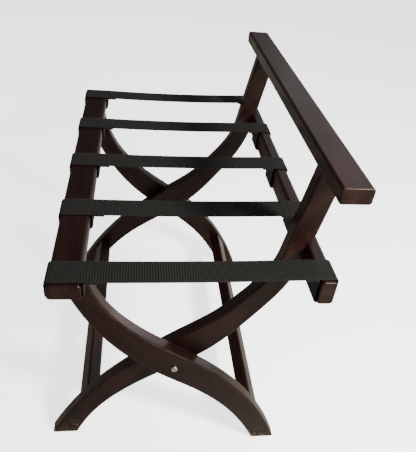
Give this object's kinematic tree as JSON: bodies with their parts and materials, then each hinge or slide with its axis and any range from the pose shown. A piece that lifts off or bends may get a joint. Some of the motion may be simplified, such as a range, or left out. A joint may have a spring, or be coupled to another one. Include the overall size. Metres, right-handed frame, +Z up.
{
  "type": "folding luggage rack",
  "caption": "Folding luggage rack with crossed curved wooden legs, two seat rails joined by webbing straps, and a raised back rail.",
  "frame": {"origin": "middle of the rack's box, on the floor under it", "axes": "+X across the seat towards the raised back rail, +Y along the rails, +Z up; the rack is symmetric front to rear about Y = 0"},
  "size_m": [0.3999, 0.61, 0.558],
  "materials": {
    "stained_wood": "dark mahogany stain under a semi-gloss lacquer, softly rounded edges",
    "webbing": "black woven webbing with cross ribs",
    "plated_steel": "bright plated steel",
    "dowel_wood": "plain unfinished hardwood dowel, hidden in the joints"
  },
  "bodies": {
    "outer_frame": {"outer_leg_front": "stained_wood", "outer_leg_rear": "stained_wood", "outer_seat_rail": "stained_wood", "outer_stretcher": "stained_wood", "strap_1": "webbing", "strap_2": "webbing", "strap_3": "webbing", "strap_4": "webbing", "strap_5": "webbing", "pivot_bolt_front": "plated_steel", "pivot_bolt_rear": "plated_steel", "pivot_spacer_front": "plated_steel", "pivot_spacer_rear": "plated_steel", "pivot_washer_front": "plated_steel", "pivot_washer_rear": "plated_steel", "pivot_nut_front": "plated_steel", "pivot_nut_rear": "plated_steel", "seat_rail_dowel_front_1": "dowel_wood", "seat_rail_dowel_front_2": "dowel_wood", "seat_rail_dowel_rear_1": "dowel_wood", "seat_rail_dowel_rear_2": "dowel_wood", "outer_stretcher_dowel_front_1": "dowel_wood", "outer_stretcher_dowel_front_2": "dowel_wood", "outer_stretcher_dowel_rear_1": "dowel_wood", "outer_stretcher_dowel_rear_2": "dowel_wood"},
    "inner_frame": {"inner_leg_front": "stained_wood", "inner_leg_rear": "stained_wood", "inner_seat_rail": "stained_wood", "back_rail": "stained_wood", "inner_stretcher": "stained_wood", "seat_rail_screw_front": "plated_steel", "seat_rail_screw_rear": "plated_steel", "back_rail_dowel_front_1": "dowel_wood", "back_rail_dowel_front_2": "dowel_wood", "back_rail_dowel_rear_1": "dowel_wood", "back_rail_dowel_rear_2": "dowel_wood", "inner_stretcher_dowel_front_1": "dowel_wood", "inner_stretcher_dowel_front_2": "dowel_wood", "inner_stretcher_dowel_rear_1": "dowel_wood", "inner_stretcher_dowel_rear_2": "dowel_wood"}
  },
  "joints": [
    {"name": "fold", "type": "hinge", "parent": "outer_frame", "child": "inner_frame", "pos_m": [-0.0015, 0, 0.197], "axis": [0, -1, 0], "range_deg": [0, 60], "deforming": ["strap_1", "strap_2", "strap_3", "strap_4", "strap_5"]}
  ]
}
